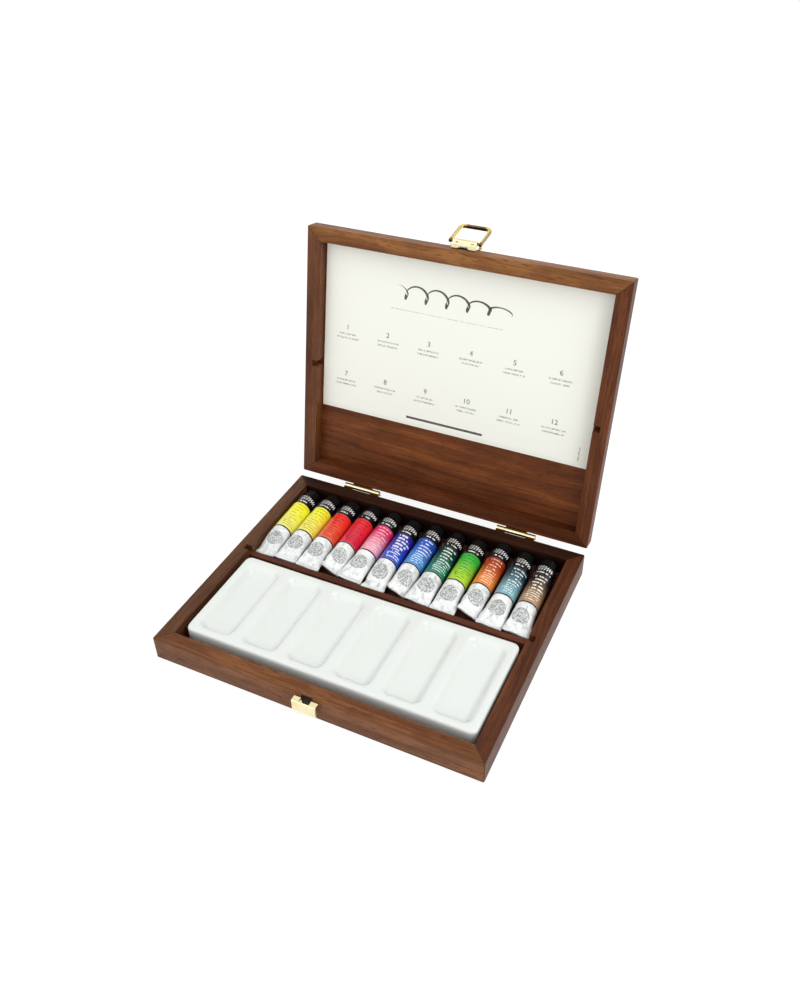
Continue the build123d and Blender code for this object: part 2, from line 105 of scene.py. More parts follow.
# The label's map: its whole width and height, and the distance from the cap end where it starts.
# What is printed lies at these heights from there, all in millimetres.
LABEL_UNIT = 100.0
LABEL_START = 90
FOLD = (10.2, 12.0)
ROSETTE_MIDDLE = 26.0
ROSETTE_RADIUS = 6.7
RING = (37.5, 38.9)
COLOUR_BAND = (39.0, 69.2)
FINE_ROWS = (40.6, 51.5)
NUMBER_HEIGHT = 45.2
BOLD_ROWS = (51.6, 68.6)
BLACK_BAND = (69.1, 69.3)
SMALL_ROW = (70.5, 73.3)
BRUSH_LINE = 77.0

# Turns of the grain: along X, or along Y for the side rails
ALONG_X = 0.0
ALONG_Y = radians(90)

# One row for each tube, in millimetres: cap end, crimp end, left and right reach of the crimp from
# the axis, its tilt in degrees, its height over the axis, and how far the label is turned round
TUBE_SHAPES = [
    (89.4, 8.9, 8.4, 9.2, -4, -0.6, 12),
    (91.0, 9.1, 9.2, 9.2, 3, 0.3, 5),
    (90.6, 8.8, 9.2, 10.5, 5, -0.4, 3),
    (92.2, 13.6, 7.8, 7.8, 30, 0.2, 6),
    (91.2, 9.5, 10.5, 9.2, 6, 0.6, 2),
    (88.8, 8.7, 9.2, 10.5, -2, -0.8, 5),
    (90.9, 13.2, 7.8, 7.8, 28, 0.0, 8),
    (89.3, 9.3, 10.5, 9.2, 7, 0.5, 10),
    (88.7, 8.7, 9.2, 10.5, 2, -0.7, 3),
    (92.4, 13.8, 7.8, 7.8, 30, 0.6, 6),
    (89.3, 8.9, 10.5, 9.2, 6, 0.1, 8),
    (88.7, 9.4, 9.2, 11.2, 8, 0.4, -6),
]


def linear(red, green, blue):
    """A colour given in sRGB from 0 to 255, as the linear values that sockets hold."""
    values = []
    for value in (red, green, blue):
        share = value / 255
        values.append(share / 12.92 if share <= 0.04045 else ((share + 0.055) / 1.055) ** 2.4)
    return (*values, 1.0)


# One row for each tube: the label's colour next to the black band, its colour at the foot and the
# colour of its print, in sRGB, and the thickness of the printed rows in millimetres
LABELS = [
    ((250, 246, 48), (242, 238, 116), (160, 142, 36), 0.6),
    ((250, 246, 52), (246, 238, 104), (158, 134, 34), 0.6),
    ((238, 48, 36), (240, 92, 56), (150, 16, 18), 0.8),
    ((236, 38, 50), (222, 30, 70), (140, 10, 26), 0.8),
    ((232, 50, 106), (248, 172, 192), (255, 232, 238), 0.8),
    ((40, 36, 160), (50, 92, 206), (244, 246, 255), 1.9),
    ((32, 84, 190), (84, 156, 226), (236, 246, 255), 1.3),
    ((14, 52, 46), (24, 134, 112), (228, 244, 236), 1.5),
    ((54, 186, 60), (178, 222, 50), (30, 110, 36), 0.8),
    ((168, 52, 26), (244, 140, 58), (255, 232, 206), 1.1),
    ((28, 62, 72), (128, 182, 194), (238, 250, 250), 1.3),
    ((40, 30, 26), (182, 144, 108), (252, 244, 230), 1.4),
]

# Middle sRGB colour of each wooden piece, the turn of its grain and its place in the plank
WOOD_PIECES = {
    "base_front_rail": ((104, 61, 32), ALONG_X, 0.0),
    "base_back_rail": ((90, 48, 26), ALONG_X, 1.7),
    "base_left_rail": ((94, 58, 33), ALONG_Y, 3.1),
    "base_right_rail": ((88, 46, 22), ALONG_Y, 4.9),
    "compartment_divider": ((86, 44, 26), ALONG_X, 6.3),
    "base_bottom_panel": ((84, 46, 28), ALONG_X, 7.7),
    "lid_front_rail": ((122, 76, 38), ALONG_X, 9.2),
    "lid_back_rail": ((86, 42, 18), ALONG_X, 10.4),
    "lid_left_rail": ((98, 56, 29), ALONG_Y, 11.9),
    "lid_right_rail": ((84, 41, 15), ALONG_Y, 13.3),
    "lid_panel": ((104, 54, 22), ALONG_X, 14.8),
}

HINGE_NODES = [
    "hinge_base_leaf_left", "hinge_base_leaf_right", "hinge_lid_leaf_left", "hinge_lid_leaf_right",
    "hinge_pin_left", "hinge_pin_right", "hinge_base_screws", "hinge_lid_screws",
]
CATCH_NODES = [
    "catch_keeper", "catch_keeper_screws", "catch_bracket", "catch_bracket_pins", "catch_bail",
]


def colour_setting(name, description, *srgb):
    """A colour in the panel."""
    return bpy.props.FloatVectorProperty(
        name=name, description=description, default=linear(*srgb), size=4, min=0.0, max=1.0,
        subtype="COLOR")


def length_setting(name, description, millimetres):
    """A length in the panel."""
    return bpy.props.FloatProperty(
        name=name, description=description, default=millimetres * MM, unit="LENGTH")


def share_setting(name, description, default, least=0.0):
    """A share from nothing to all in the panel."""
    return bpy.props.FloatProperty(
        name=name, description=description, default=default, min=least, max=1.0, subtype="FACTOR")


class PaintBoxFinishes(bpy.types.PropertyGroup):
    """Colours and gloss of the box, its fittings and the palette."""

    stain_depth: share_setting(
        "Stain Depth", "Contrast between the walnut's light and dark wood", 0.85, 0.1)
    wood_gloss: share_setting("Varnish", "Weight of the thin varnish on the wood", 0.08)
    brass: colour_setting("Brass", "Colour of the bright brass fittings", 246, 235, 192)
    tarnish: colour_setting(
        "Tarnish", "Colour of the brass where it has dulled", 206, 176, 104)
    bail: colour_setting("Bail", "Colour of the yellower brass of the bail", 232, 208, 126)
    # The hinges' colour is a painted reflection of the dark wood round them; a painted highlight goes over it on
    # the knuckles
    hinge: colour_setting("Hinges", "Colour of the hinges' browner brass", 120, 84, 46)
    rounding: length_setting("Edge Rounding", "Most that the wood's edges are sanded", 0.45)
    glaze: colour_setting("Glaze", "Colour of the porcelain's glaze", 232, 236, 232)
    glaze_pool: colour_setting(
        "Pooled Glaze", "Colour where the glaze is thick, low in the wells",
        229, 234, 230)
    cap: colour_setting("Caps", "Colour of the moulded screw caps", 7, 7, 8)


class PaintBoxTubes(bpy.types.PropertyGroup):
    """Sizes of the paint tubes and of their labels."""

    radius: length_setting("Radius", "Radius of a full tube", 8.3)
    pitch: length_setting("Pitch", "Distance between two tubes' axes", 18.85)
    first_x: length_setting("First Axis", "Place of the first tube's axis across the box", -105.2)
    height: length_setting("Axis Height", "Height of the tubes' axes", 12.45)
    flare: length_setting("Flare", "Where the tube starts to flatten, from its cap end", FLARE)
    crimp: length_setting("Crimp", "Length of the folded crimp", 3.2)
    dent: length_setting("Dents", "Depth of the dents in the soft foil", 0.9)
    segments: bpy.props.IntProperty(
        name="Segments", description="Facets round each tube", default=64, min=24, max=128)


class PaintBoxCard(bpy.types.PropertyGroup):
    """Sizes of the print on the card."""

    number_height: length_setting("Number Height", "Size of the plain numbers", 5.8)
    line_width: length_setting("Line Width", "Width of the printed lines", 1.3)
    paper: colour_setting("Paper", "Colour of the coated paper", 250, 251, 241)


class PaintBoxStage(bpy.types.PropertyGroup):
    """Camera and light of the studio."""

    camera_place: bpy.props.FloatVectorProperty(
        name="Camera", description="Where the camera stands", default=(0.23835, -0.43834, 0.50642),
        size=3, subtype="TRANSLATION")
    camera_turn: bpy.props.FloatVectorProperty(
        name="Camera Turn", description="How the camera is turned",
        default=(0.916567, 0.022963, 0.448522), size=3, subtype="EULER")
    camera_shift: bpy.props.FloatVectorProperty(
        name="Camera Shift", description="How far the picture is shifted, across and up",
        default=(0.00386, -0.01967), size=2)
    lens: bpy.props.FloatProperty(
        name="Lens", description="Focal length in millimetres", default=34.017)
    key: bpy.props.FloatProperty(
        name="Key Light", description="Power of the large soft lamp at the right", default=13.0,
        subtype="POWER")
    fill: bpy.props.FloatProperty(
        name="Fill Light", description="Power of the soft lamp at the front left", default=6.0,
        subtype="POWER")
    room: bpy.props.FloatProperty(
        name="Room Light", description="Strength of the even light from all round", default=0.72)


# Node trees


def tree_of(*values):
    """The node tree that the first socket among some values is in."""
    return next(v.id_data for v in values if isinstance(v, bpy.types.NodeSocket))


def link(socket, target):
    """Wires an output to an input."""
    socket.id_data.links.new(socket, target)


def put(tree, kind, inputs=None, **settings):
    """Adds a node, sets it up, and fills each named input with a value or wires a socket to it."""
    made = tree.nodes.new(kind)
    for name, value in settings.items():
        setattr(made, name, value)
    for name, value in (inputs or {}).items():
        if isinstance(value, bpy.types.NodeSocket):
            tree.links.new(value, made.inputs[name])
        else:
            made.inputs[name].default_value = value
    return made


def calc(operation, a, b=0.0, c=0.0, clamp=False):
    """One sum on two or three numbers or sockets."""
    tree = tree_of(a, b, c)
    made = put(tree, "ShaderNodeMath", {0: a, 1: b, 2: c}, operation=operation, use_clamp=clamp)
    return made.outputs[0]


def times(a, b):
    """The product of two numbers or sockets."""
    return calc("MULTIPLY", a, b)


def less(a, b):
    """The difference of two numbers or sockets."""
    return calc("SUBTRACT", a, b)


def most(a, b):
    """The greater of two numbers or sockets."""
    return calc("MAXIMUM", a, b)


def absolute(a):
    """The absolute value of a socket."""
    return calc("ABSOLUTE", a)


def ramp(value, slope, start, clamp=False):
    """A value times a slope, plus a start."""
    return calc("MULTIPLY_ADD", value, slope, start, clamp)


def mixed(factor, a, b, mode="MIX"):
    """Two colours mixed."""
    tree = tree_of(factor, a, b)
    made = put(tree, "ShaderNodeMix", {0: factor, 6: a, 7: b}, data_type="RGBA", blend_type=mode)
    return made.outputs[2]


def step(value, low, high, to_low=0.0, to_high=1.0):
    """A smooth step of a value between two levels."""
    made = put(value.id_data, "ShaderNodeMapRange", {
        "Value": value, "From Min": low, "From Max": high, "To Min": to_low, "To Max": to_high,
    }, interpolation_type="SMOOTHSTEP")
    return made.outputs["Result"]


def inside(value, low, high, soft):
    """A mask that is 1 between two levels, with soft ends."""
    rise = step(value, low - soft, low + soft)
    fall = step(value, high - soft, high + soft, 1.0, 0.0)
    return times(rise, fall)


def scaled(vector, size, place=(0, 0, 0), turn=(0, 0, 0)):
    """A vector turned, scaled and moved."""
    made = put(vector.id_data, "ShaderNodeMapping", {
        "Vector": vector, "Scale": size, "Location": place, "Rotation": turn,
    })
    return made.outputs[0]


def cloud(vector, scale=1.0, detail=2.0, rough=0.5, warp=0.0):
    """A soft noise from 0 to 1."""
    made = put(vector.id_data, "ShaderNodeTexNoise", {
        "Vector": vector, "Scale": scale, "Detail": detail, "Roughness": rough, "Distortion": warp,
    })
    return made.outputs["Fac"]


def apart(vector):
    """The three parts of a vector."""
    return put(vector.id_data, "ShaderNodeSeparateXYZ", {"Vector": vector}).outputs


def group_tree(name, inputs, outputs):
    """A new shader node group with its sockets, and its input and output nodes."""
    tree = bpy.data.node_groups.new(name, "ShaderNodeTree")
    kinds = {"color": "NodeSocketColor", "value": "NodeSocketFloat", "vector": "NodeSocketVector"}
    for label, kind in inputs:
        tree.interface.new_socket(name=label, in_out="INPUT", socket_type=kinds[kind])
    for label, kind in outputs:
        tree.interface.new_socket(name=label, in_out="OUTPUT", socket_type=kinds[kind])
    return tree, tree.nodes.new("NodeGroupInput").outputs, tree.nodes.new("NodeGroupOutput").inputs


def grouped(name, **inputs):
    """Places a node group in a tree and gives its outputs."""
    tree, group = tree_of(*inputs.values()), bpy.data.node_groups[name]
    return put(tree, "ShaderNodeGroup", inputs, node_tree=group).outputs


def fresh_tree(owner):
    """The emptied node tree of a material or a world."""
    owner.use_nodes = True
    owner.node_tree.nodes.clear()
    return owner.node_tree


def surface(name, constants):
    """A new material with its Principled shader and its object coordinates."""
    material = bpy.data.materials.new(name)
    tree = fresh_tree(material)
    shader = put(tree, "ShaderNodeBsdfPrincipled", constants)
    put(tree, "ShaderNodeOutputMaterial", {"Surface": shader.outputs[0]})
    place = tree.nodes.new("ShaderNodeTexCoord").outputs["Object"]
    return material, shader.inputs, place


def relief(height, distance, strength=1.0):
    """A bump normal from a height."""
    return put(height.id_data, "ShaderNodeBump", {
        "Height": height, "Distance": distance, "Strength": strength,
    }).outputs["Normal"]


def closed_place(place, on_lid):
    """Coordinates in the shut box, so that the lid's pieces read as they were made."""
    if not on_lid:
        return place
    turned = HINGE.copy()
    turned.rotate(Euler((LID_ANGLE, 0, 0)))
    return scaled(place, (1, 1, 1), HINGE - turned, (LID_ANGLE, 0, 0))


def make_walnut_group():
    """Stained walnut with its grain along X: bands, mottle, stripes, fibres and open pores."""
    tree, given, out = group_tree(
        "walnut grain",
        [("Vector", "vector"), ("Middle", "color"), ("Depth", "value"), ("Figure", "value")],
        [("Color", "color"), ("Roughness", "value"), ("Height", "value")],
    )
    place = given["Vector"]
    sway = cloud(scaled(place, (6, 22, 22)), detail=2)
    sway = ramp(sway, 0.018, -0.009)
    x, y, z = apart(place)
    y = calc("ADD", y, sway)
    z = ramp(sway, 0.6, z)
    flow = put(tree, "ShaderNodeCombineXYZ", {0: x, 1: y, 2: z}).outputs[0]
    bands = cloud(scaled(flow, (4.5, 85, 85)), detail=2, rough=0.45)
    bands = step(bands, 0.30, 0.70)
    mottle = cloud(scaled(flow, (30, 75, 75)), detail=3, rough=0.5, warp=0.4)
    mottle = step(mottle, 0.30, 0.70)
    stripes = step(cloud(scaled(flow, (7, 420, 420)), detail=2), 0.28, 0.72)
    fibres = cloud(scaled(flow, (40, 1500, 1500)), detail=2, rough=0.6)
    pores = step(cloud(scaled(flow, (110, 1500, 1500)), detail=1), 0.58, 0.70)
    tone = times(bands, given["Figure"])
    tone = ramp(mottle, 0.26, tone)
    tone = ramp(stripes, 0.36, tone)
    tone = less(tone, 0.37)
    tone = ramp(fibres, 0.70, tone, clamp=True)
    light = mixed(1.0, given["Middle"], (1.70, 1.90, 2.05, 1.0), "MULTIPLY")
    light = mixed(given["Depth"], given["Middle"], light)
    dark = mixed(1.0, given["Middle"], (0.50, 0.42, 0.34, 1.0), "MULTIPLY")
    dark = mixed(given["Depth"], given["Middle"], dark)
    colour = mixed(step(tone, 0.10, 0.50), light, given["Middle"])
    colour = mixed(step(tone, 0.50, 0.90), colour, dark)
    colour = mixed(times(pores, 0.75), colour, dark)
    link(colour, out["Color"])
    gloss = ramp(fibres, 0.2, 0.36)
    link(ramp(pores, 0.2, gloss), out["Roughness"])
    height = ramp(pores, -1.0, times(fibres, 0.5))
    link(height, out["Height"])


def make_scuff_group():
    """Fine crossing scratches and slow patches, for handled metal, glaze and plastic."""
    tree, given, out = group_tree(
        "handling marks", [("Vector", "vector"), ("Scale", "value")],
        [("Scratches", "value"), ("Patches", "value")],
    )
    place = put(tree, "ShaderNodeVectorMath", {
        0: given["Vector"], "Scale": given["Scale"],
    }, operation="SCALE")
    lines = []
    for turn, stretch in ((0.5, 0.05), (-0.9, 0.08)):
        size = (1400 * stretch, 1400, 1400)
        vector = scaled(place.outputs[0], size, turn=(0.3, 0.2, turn))
        lines.append(step(cloud(vector, detail=1), 0.64, 0.70))
    link(most(*lines), out["Scratches"])
    patches = cloud(place.outputs[0], scale=70, detail=4, rough=0.6)
    link(step(patches, 0.35, 0.7), out["Patches"])


def make_rows_group():
    """Rows of short printed dashes of uneven length, in millimetres round and along a label."""
    tree, given, out = group_tree(
        "printed rows",
        [("Across", "value"), ("Along", "value"), ("Start", "value"), ("Pitch", "value"),
         ("Thick", "value"), ("Reach", "value"), ("Seed", "value")],
        [("Mask", "value")],
    )
    row = calc("DIVIDE", less(given["Along"], given["Start"]), given["Pitch"])
    index = calc("FLOOR", row)
    offset = absolute(less(less(row, index), 0.5))
    distance = times(offset, given["Pitch"])
    half = times(given["Thick"], 0.5)
    body = step(less(distance, half), -0.08, 0.08, 1.0, 0.0)
    key = ramp(index, 3.7, given["Seed"])
    chance = put(tree, "ShaderNodeTexWhiteNoise", {"W": key}, noise_dimensions="1D").outputs
    length = times(given["Reach"], ramp(chance["Value"], 0.5, 0.5))
    lean = less(given["Across"], less(length, given["Reach"]))
    ends = less(absolute(lean), length)
    ends = step(ends, -0.15, 0.15, 1.0, 0.0)
    spot = put(tree, "ShaderNodeCombineXYZ", {
        0: times(given["Across"], 0.62), 1: times(key, 2.3),
    }).outputs[0]
    words = step(cloud(spot, detail=0), 0.36, 0.44)
    letters = put(tree, "ShaderNodeCombineXYZ", {
        0: times(given["Across"], 2.6), 1: times(key, 5.1),
    }).outputs[0]
    letters = step(cloud(letters, detail=0), 0.30, 0.50, 0.35, 1.0)
    mask = times(times(body, ends), words)
    link(times(mask, letters), out["Mask"])


def walnut(name, middle, turn, seed, on_lid, finishes):
    """Varnished walnut for one wooden piece, with a dark glue line along its mitres, and painted shade along the
    base rails' foot, low behind the tubes' caps and in the keeper's slot.
    """
    material, shader, place = surface("walnut_" + name, {
        "Coat Weight": finishes.wood_gloss, "Coat Roughness": 0.30, "Specular IOR Level": 0.16,
    })
    shut = closed_place(place, on_lid)
    spot = scaled(shut, (1, 1, 1), (seed, seed * 0.37, seed * 0.11), (0, 0, turn))
    figure = 0.52 if "panel" in name else 0.40
    grain = grouped("walnut grain", Vector=spot, Middle=middle, Depth=finishes.stain_depth,
                    Figure=figure)
    x, y, z = apart(shut)
    colour = grain["Color"]
    if name.endswith("rail"):
        from_mitre = less(absolute(x), absolute(y))
        from_mitre = absolute(less(from_mitre, MITRE_OFFSET))
        joint = step(from_mitre, 0.05 * MM, 0.40 * MM, 0.8, 0.0)
        colour = mixed(joint, colour, linear(34, 18, 11))
        if name.startswith("base"):
            # painted contact shade along the foot of the base rails
            painted_contact_shade = step(z, 0.4 * MM, 1.3 * MM, 0.85, 0.0)
            colour = mixed(painted_contact_shade, colour, linear(24, 12, 9))
    if name == "base_back_rail":
        # painted shade low on the back rail's inner face, behind the tubes' caps
        low = step(z, 12 * MM, 36 * MM, 0.95, 0.0)
        painted_cap_shade = times(low, step(y, 103.5 * MM, 104.5 * MM, 1.0, 0.0))
        colour = mixed(painted_cap_shade, colour, linear(14, 5, 4))
    if name == "base_front_rail":
        # painted shade on the wood seen through the keeper's slot
        wide = inside(x, -KEEPER_SLOT_SHADE, KEEPER_SLOT_SHADE, 0.2 * MM)
        slot = times(wide, inside(z, 7 * MM, 25 * MM, 0.4 * MM))
        slot = times(slot, step(y, -103.7 * MM, -103.4 * MM, 1.0, 0.0))
        colour = mixed(slot, colour, linear(18, 6, 5))
    link(colour, shader["Base Color"])
    link(grain["Roughness"], shader["Roughness"])
    link(relief(grain["Height"], 0.10 * MM, 0.6), shader["Normal"])
    return material


def brass_metal(node, finishes):
    """Bright pressed brass with fine scratches, with painted reflections of the dark room on the bail, painted
    shade in the bracket's notch, and on the hinges a dark painted reflection of the wood under a painted
    highlight.
    """
    hinge = node in HINGE_NODES
    material, shader, place = surface("brass_" + node, {"Metallic": 1.0})
    marks = grouped("handling marks", Vector=place, Scale=1.6)
    colour = finishes.bail if node == "catch_bail" else finishes.brass
    x, y, z = apart(place)
    if hinge:
        # painted highlight along the top of each knuckle, over the hinges' colour, which is a painted reflection
        # of the dark wood
        facing = apart(place.node.outputs["Normal"])[2]
        dy = less(y, HINGE.y)
        dz = less(z, HINGE.z)
        reach = calc("SQRT", ramp(dy, dy, times(dz, dz)))
        up = inside(facing, 0.55, 0.93, 0.10)
        painted_highlight = times(up, step(reach, *KNUCKLE_HIGHLIGHT_REACH, 1.0, 0.0))
        colour = mixed(painted_highlight, finishes.hinge, colour)
    elif node == "catch_bail":
        # painted reflection of the dark room on the bail's bar, on the outer rims of its sides and on its foot
        bar = inside(x, *BAIL_BAR_X, 1.2 * MM)
        bar = times(bar, step(y, *BAIL_BAR_Y))
        rims = step(absolute(x), *BAIL_SIDE_X, 0.0, 0.75)
        rims = times(rims, step(y, *BAIL_SIDE_Y, 1.0, 0.0))
        foot = step(y, *BAIL_FOOT_Y, 0.9, 0.0)
        painted_reflection = most(bar, most(rims, foot))
        colour = mixed(times(painted_reflection, 0.9), colour, linear(46, 30, 14))
    elif node == "catch_bracket":
        # painted shade in the bracket's notch
        slot = inside(x, -BRACKET_NOTCH_SHADE, BRACKET_NOTCH_SHADE, 0.4 * MM)
        slot = times(slot, step(z, 226.2 * MM, 226.8 * MM, 1.0, 0.0))
        colour = mixed(slot, colour, linear(22, 16, 10))
    # dulled patches; on the hinges these take the dark colour of their painted reflection
    worn = times(marks["Patches"], 0.25)
    colour = mixed(worn, colour, finishes.hinge if hinge else finishes.tarnish)
    flecks = step(cloud(place, scale=850, detail=2), 0.60, 0.70, 0.0, 0.45)
    link(mixed(flecks, colour, linear(120, 96, 52)), shader["Base Color"])
    rough = ramp(marks["Patches"], 0.07, 0.07)
    rough = ramp(marks["Scratches"], 0.12, rough)
    link(rough, shader["Roughness"])
    ripple = cloud(place, scale=240, detail=2)
    height = ramp(marks["Scratches"], -0.3, ripple)
    link(relief(height, 0.04 * MM, 0.4), shader["Normal"])
    return material


def porcelain(finishes):
    """White porcelain glaze, slightly deeper where it has pooled in the wells."""
    material, shader, place = surface("white_porcelain", {
        "Coat Weight": 0.3, "Coat Roughness": 0.05, "Subsurface Weight": 0.10,
        "Subsurface Radius": (0.003, 0.003, 0.003), "IOR": 1.5, "Specular IOR Level": 0.4,
    })
    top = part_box("palette")[1].z
    depth = less(top, apart(place)[2])
    pooled = step(depth, 2.5 * MM, 7.5 * MM)
    slow = cloud(place, scale=38, detail=2)
    pooled = ramp(slow, 0.25, times(pooled, 0.6), clamp=True)
    colour = mixed(pooled, finishes.glaze, finishes.glaze_pool)
    specks = step(cloud(place, scale=700, detail=0), 0.84, 0.89)
    colour = mixed(times(specks, 0.2), colour, linear(170, 162, 146))
    link(colour, shader["Base Color"])
    marks = grouped("handling marks", Vector=place, Scale=0.7)
    rough = ramp(marks["Patches"], 0.06, 0.12)
    link(rough, shader["Roughness"])
    wave = cloud(place, scale=45, detail=1)
    link(relief(wave, 0.25 * MM, 0.4), shader["Normal"])
    return material


def cap_plastic(finishes):
    """Moulded black plastic with a dull bloom and fine scuffs."""
    material, shader, place = surface("cap_plastic", {"Specular IOR Level": 0.2})
    marks = grouped("handling marks", Vector=place, Scale=2.2)
    scuffed = times(marks["Scratches"], 0.15)
    link(mixed(scuffed, finishes.cap, linear(78, 80, 86)), shader["Base Color"])
    rough = ramp(marks["Patches"], 0.16, 0.34)
    link(rough, shader["Roughness"])
    orange_peel = cloud(place, scale=1900, detail=1)
    link(relief(orange_peel, 0.03 * MM, 0.5), shader["Normal"])
    return material


def card_paper(sizes):
    """Coated card with a faint tooth, and painted shade towards its right edge and its foot."""
    material, shader, place = surface("coated_card", {"Specular IOR Level": 0.3})
    x, y = apart(closed_place(place, True))[:2]
    fibre = cloud(place, scale=1300, detail=3)
    tone = mixed(times(fibre, 0.3), sizes.paper, linear(236, 236, 228))
    # painted shade towards the right edge, where the card curls, and along its foot
    right = step(x, 98 * MM, 112.4 * MM, 0.0, 0.42)
    low = step(y, 38 * MM, 43.3 * MM, 0.0, 0.3)
    edge = most(right, low)
    link(mixed(edge, tone, linear(214, 212, 200)), shader["Base Color"])
    rough = ramp(fibre, 0.15, 0.48)
    link(rough, shader["Roughness"])
    link(relief(fibre, 0.03 * MM, 0.4), shader["Normal"])
    return material


def printing_ink(name, colour, paper, broken):
    """Thin ink on paper. Broken ink leaves gaps, as rows of small print do."""
    material, shader, place = surface(name, {"Specular IOR Level": 0.3})
    thin = step(cloud(place, scale=1700, detail=2), 0.35, 0.65, 0.0, 0.18)
    if broken:
        row = scaled(closed_place(place, True), (1500, 1100, 1100))
        gaps = step(cloud(row, detail=1), 0.40, 0.56, 0.96, 0.2)
        thin = most(thin, gaps)
    link(mixed(thin, colour, paper), shader["Base Color"])
    link(ramp(thin, 0.2, 0.45), shader["Roughness"])
    return material


def print_rows(across, along, rows, pitch, thick, reach, seed):
    """Printed dashes between two heights of a label."""
    dashes = grouped("printed rows", Across=across, Along=along, Start=rows[0], Pitch=pitch,
                     Thick=thick, Reach=reach, Seed=seed)
    return times(dashes["Mask"], inside(along, *rows, 0.05))


def tube_label(number, look):
    """Printed foil of one tube: black band, shaded colour band, ring, rosette and white enamel with painted shade
    in its creases and on its round sides.
    """
    top_colour, foot_colour, print_colour = (linear(*colour) for colour in look[:3])
    thick = look[3]
    material, shader, place = surface(f"tube_{number:02d}_foil", {
        "Coat Weight": 0.2, "Coat Roughness": 0.12, "Specular IOR Level": 0.4,
    })
    u, v = apart(put(place.id_data, "ShaderNodeUVMap", uv_map="label").outputs[0])[:2]
    across = ramp(u, LABEL_UNIT, -LABEL_UNIT / 2)
    along = times(v, LABEL_UNIT)
    wobble = ramp(cloud(place, scale=900, detail=1), 0.24, -0.12)
    edge = calc("ADD", along, wobble)
    # white enamel, with painted shade in its creases, and greyer in patches that also make its dents
    creases = cloud(scaled(place, (300, 110, 300)), detail=3, rough=0.6, warp=0.8)
    foil_blotches = cloud(place, scale=230, detail=3)
    painted_crease_shade = step(creases, 0.50, 0.72, 0.0, 0.62)
    foil = mixed(painted_crease_shade, linear(246, 248, 247), linear(150, 156, 156))
    foil = mixed(step(foil_blotches, 0.46, 0.74, 0.0, 0.5), foil, linear(176, 184, 182))
    # painted shade on the round sides of the tube
    painted_side_shade = step(absolute(across), 6.0, 13.0, 0.0, 0.55)
    foil = mixed(painted_side_shade, foil, linear(178, 186, 182))
    # the shaded colour band, with bold rows of print above and fine rows at its foot
    tint = mixed(step(edge, 40, 66), foot_colour, top_colour)
    beside = less(across, 3.6)
    bold = print_rows(beside, along, BOLD_ROWS, 3.4, thick, 6.6, number * 1.31)
    fine_thick = 0.35 + thick * 0.35
    fine = print_rows(beside, along, FINE_ROWS, 2.2, fine_thick, 6.6, number * 2.17)
    tint = mixed(most(bold, fine), tint, print_colour)
    colour = mixed(inside(edge, *COLOUR_BAND, 0.12), foil, tint)
    # the black band, with a loose brush line and one row of dashes
    lean = ramp(less(along, BRUSH_LINE), -0.45, across)
    loops = calc("SINE", ramp(lean, 3.1, number * 0.9))
    tall = step(across, -3.5, 7.0, 2.6, 1.1)
    curve = ramp(loops, tall, ramp(across, -0.10, BRUSH_LINE + 0.2))
    script = step(absolute(less(along, curve)), 0.55, 1.15, 1.0, 0.0)
    script = times(script, inside(across, -4.2, 8.6, 0.3))
    beside = less(across, 2.6)
    small = print_rows(beside, along, SMALL_ROW, 3.0, 1.3, 6.2, number * 0.77 + 5)
    white = most(script, small)
    band = mixed(white, linear(10, 10, 12), linear(244, 244, 244))
    colour = mixed(step(edge, *BLACK_BAND), colour, band)
    colour = mixed(inside(edge, *RING, 0.1), colour, linear(8, 8, 10))
    # a plain printed rosette
    dx = calc("DIVIDE", calc("ADD", across, 0.5), ROSETTE_RADIUS)
    dy = calc("DIVIDE", less(along, ROSETTE_MIDDLE), ROSETTE_RADIUS)
    radius = calc("SQRT", ramp(dx, dx, times(dy, dy)))
    angle = calc("ARCTAN2", dy, dx)
    petals = absolute(calc("SINE", times(angle, 6.0)))
    arcs = calc("SINE", ramp(radius, 22.0, times(petals, 3.0)))
    lace = ramp(cloud(place, scale=760, detail=2), 8.0, -4.0)
    lace = step(ramp(arcs, 0.5, lace), -0.25, 0.45)
    disc = step(radius, 0.90, 1.02, 1.0, 0.0)
    lace = times(lace, disc)
    colour = mixed(times(disc, 0.75), colour, linear(204, 206, 205))
    colour = mixed(times(lace, 0.7), colour, linear(112, 114, 116))
    # bare metal shows at the fold and where the enamel has cracked
    bare = step(along, *FOLD, 0.6, 0.0)
    cracks = step(creases, 0.72, 0.82)
    bare = most(bare, times(cracks, step(along, 34, 38.0, 1.0, 0.0)))
    link(mixed(bare, colour, linear(214, 216, 220)), shader["Base Color"])
    link(bare, shader["Metallic"])
    link(ramp(foil_blotches, 0.16, 0.22), shader["Roughness"])
    low = step(along, 30, 38, 1.0, 0.06)
    height = times(calc("ADD", creases, foil_blotches), low)
    link(relief(height, 0.6 * MM, 0.6), shader["Normal"])
    return material


# Shapes


def finish_piece(name, bm, body, materials, replaced=()):
    """Turns a bmesh into a piece that rides on a body, smooth but for its sharp edges."""
    for face in bm.faces:
        face.smooth = True
    for edge in bm.edges:
        if len(edge.link_faces) == 2 and edge.calc_face_angle(0) > radians(38):
            edge.smooth = False
    mesh = bpy.data.meshes.new(name)
    bm.to_mesh(mesh)
    bm.free()
    for material in materials:
        mesh.materials.append(material)
    piece = bpy.data.objects.new(name, mesh)
    bpy.context.scene.collection.objects.link(piece)
    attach(piece, body)
    if replaced:
        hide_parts(*replaced)
    return piece


def dress(node, material):
    """Gives a CAD node its finish."""
    mesh = NODES[node].data
    mesh.materials.clear()
    mesh.materials.append(material)


def merged_faces(node):
    """A bmesh of a CAD node with its doubled corners merged."""
    bm = bmesh.new()
    bm.from_mesh(NODES[node].data)
    bmesh.ops.remove_doubles(bm, verts=bm.verts, dist=1e-6)
    return bm


